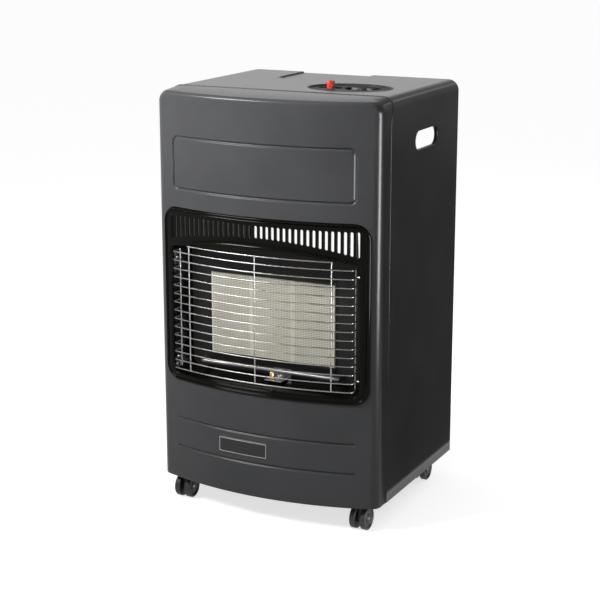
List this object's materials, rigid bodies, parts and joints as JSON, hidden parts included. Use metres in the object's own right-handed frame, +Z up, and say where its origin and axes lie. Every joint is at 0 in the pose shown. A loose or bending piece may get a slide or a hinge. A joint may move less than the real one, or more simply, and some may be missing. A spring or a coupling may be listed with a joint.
{
  "type": "portable gas cabinet heater",
  "caption": "Free-standing gas heater: bowed steel cabinet on casters, slotted black surround, wire guard over ceramic plaques, recessed knob and igniter button on top.",
  "frame": {"origin": "centre of the footprint, on the floor under the wheels", "axes": "+Z up, the bowed front faces -Y, +X to the right of someone who faces the front"},
  "size_m": [0.418, 0.385, 0.744],
  "materials": {
    "cabinet_paint": "satin anthracite powder coat",
    "black_enamel": "gloss black enamel",
    "black_plastic": "satin black moulding",
    "bright_wire": "bright nickel plating",
    "galvanised": "zinc-plated sheet",
    "heat_steel": "heat-darkened sheet",
    "plaque_ceramic": null,
    "porcelain": null,
    "brass": "machined",
    "cast_aluminium": "as cast or drawn",
    "red_plastic": "moulded red",
    "lead_rubber": "silicone lead"
  },
  "bodies": {
    "cabinet": {"base_pan": "cabinet_paint", "burner_head": "galvanised", "burner_panel": "heat_steel", "cabinet_wrap": "cabinet_paint", "caster_plate_front_left": "galvanised", "caster_plate_front_right": "galvanised", "caster_plate_rear_left": "galvanised", "caster_plate_rear_right": "galvanised", "ceramic_plaque_centre": "plaque_ceramic", "ceramic_plaque_left": "plaque_ceramic", "ceramic_plaque_right": "plaque_ceramic", "control_dish": "cabinet_paint", "cross_tube": "bright_wire", "front_panel": "cabinet_paint", "gas_injector": "brass", "gas_pipe": "cast_aluminium", "gas_valve": "cast_aluminium", "heat_shield": "galvanised", "hose_nozzle": "brass", "igniter_body": "black_plastic", "injector_bracket": "galvanised", "mixer_tube": "cast_aluminium", "pilot_bracket": "galvanised", "pilot_burner": "brass", "pilot_pipe": "cast_aluminium", "plaque_retainer_bottom": "bright_wire", "plaque_retainer_top": "bright_wire", "spark_electrode": "porcelain", "spark_lead": "lead_rubber", "surround": "black_enamel", "wire_guard": "bright_wire"},
    "knob_spindle": {"valve_stem": "brass"},
    "knob": {"control_knob": "black_plastic"},
    "igniter_plunger": {"igniter_button": "red_plastic"},
    "swivel_front_left": {"caster_housing_front_left": "black_plastic", "caster_axle_front_left": "bright_wire"},
    "wheel_front_left_a": {"caster_wheel_front_left_a": "black_plastic"},
    "wheel_front_left_b": {"caster_wheel_front_left_b": "black_plastic"},
    "swivel_front_right": {"caster_housing_front_right": "black_plastic", "caster_axle_front_right": "bright_wire"},
    "wheel_front_right_a": {"caster_wheel_front_right_a": "black_plastic"},
    "wheel_front_right_b": {"caster_wheel_front_right_b": "black_plastic"},
    "swivel_rear_left": {"caster_housing_rear_left": "black_plastic", "caster_axle_rear_left": "bright_wire"},
    "wheel_rear_left_a": {"caster_wheel_rear_left_a": "black_plastic"},
    "wheel_rear_left_b": {"caster_wheel_rear_left_b": "black_plastic"},
    "swivel_rear_right": {"caster_housing_rear_right": "black_plastic", "caster_axle_rear_right": "bright_wire"},
    "wheel_rear_right_a": {"caster_wheel_rear_right_a": "black_plastic"},
    "wheel_rear_right_b": {"caster_wheel_rear_right_b": "black_plastic"}
  },
  "joints": [
    {"name": "knob_press", "type": "slide", "parent": "cabinet", "child": "knob_spindle", "axis": [0, 0, 1], "range_m": [-0.005, 0], "stiffness_N_per_m": 1200, "springref_m": 0.001},
    {"name": "knob_turn", "type": "hinge", "parent": "knob_spindle", "child": "knob", "pos_m": [0.101, 0.0195, 0.7285], "axis": [0, 0, 1], "range_deg": [0, 180]},
    {"name": "igniter_press", "type": "slide", "parent": "cabinet", "child": "igniter_plunger", "axis": [0, 0, 1], "range_m": [-0.008, 0], "stiffness_N_per_m": 1500, "springref_m": 0.001},
    {"name": "swivel_front_left", "type": "hinge", "parent": "cabinet", "child": "swivel_front_left", "pos_m": [-0.172, -0.1165, 0.0345], "axis": [0, 0, 1], "continuous": true},
    {"name": "roll_front_left_a", "type": "hinge", "parent": "swivel_front_left", "child": "wheel_front_left_a", "pos_m": [-0.18175, -0.1285, 0.02], "axis": [1, 0, 0], "continuous": true},
    {"name": "roll_front_left_b", "type": "hinge", "parent": "swivel_front_left", "child": "wheel_front_left_b", "pos_m": [-0.16225, -0.1285, 0.02], "axis": [1, 0, 0], "continuous": true},
    {"name": "swivel_front_right", "type": "hinge", "parent": "cabinet", "child": "swivel_front_right", "pos_m": [0.172, -0.1165, 0.0345], "axis": [0, 0, 1], "continuous": true},
    {"name": "roll_front_right_a", "type": "hinge", "parent": "swivel_front_right", "child": "wheel_front_right_a", "pos_m": [0.16225, -0.1285, 0.02], "axis": [1, 0, 0], "continuous": true},
    {"name": "roll_front_right_b", "type": "hinge", "parent": "swivel_front_right", "child": "wheel_front_right_b", "pos_m": [0.18175, -0.1285, 0.02], "axis": [1, 0, 0], "continuous": true},
    {"name": "swivel_rear_left", "type": "hinge", "parent": "cabinet", "child": "swivel_rear_left", "pos_m": [-0.172, 0.1515, 0.0345], "axis": [0, 0, 1], "continuous": true},
    {"name": "roll_rear_left_a", "type": "hinge", "parent": "swivel_rear_left", "child": "wheel_rear_left_a", "pos_m": [-0.18175, 0.1395, 0.02], "axis": [1, 0, 0], "continuous": true},
    {"name": "roll_rear_left_b", "type": "hinge", "parent": "swivel_rear_left", "child": "wheel_rear_left_b", "pos_m": [-0.16225, 0.1395, 0.02], "axis": [1, 0, 0], "continuous": true},
    {"name": "swivel_rear_right", "type": "hinge", "parent": "cabinet", "child": "swivel_rear_right", "pos_m": [0.172, 0.1515, 0.0345], "axis": [0, 0, 1], "continuous": true},
    {"name": "roll_rear_right_a", "type": "hinge", "parent": "swivel_rear_right", "child": "wheel_rear_right_a", "pos_m": [0.16225, 0.1395, 0.02], "axis": [1, 0, 0], "continuous": true},
    {"name": "roll_rear_right_b", "type": "hinge", "parent": "swivel_rear_right", "child": "wheel_rear_right_b", "pos_m": [0.18175, 0.1395, 0.02], "axis": [1, 0, 0], "continuous": true}
  ]
}
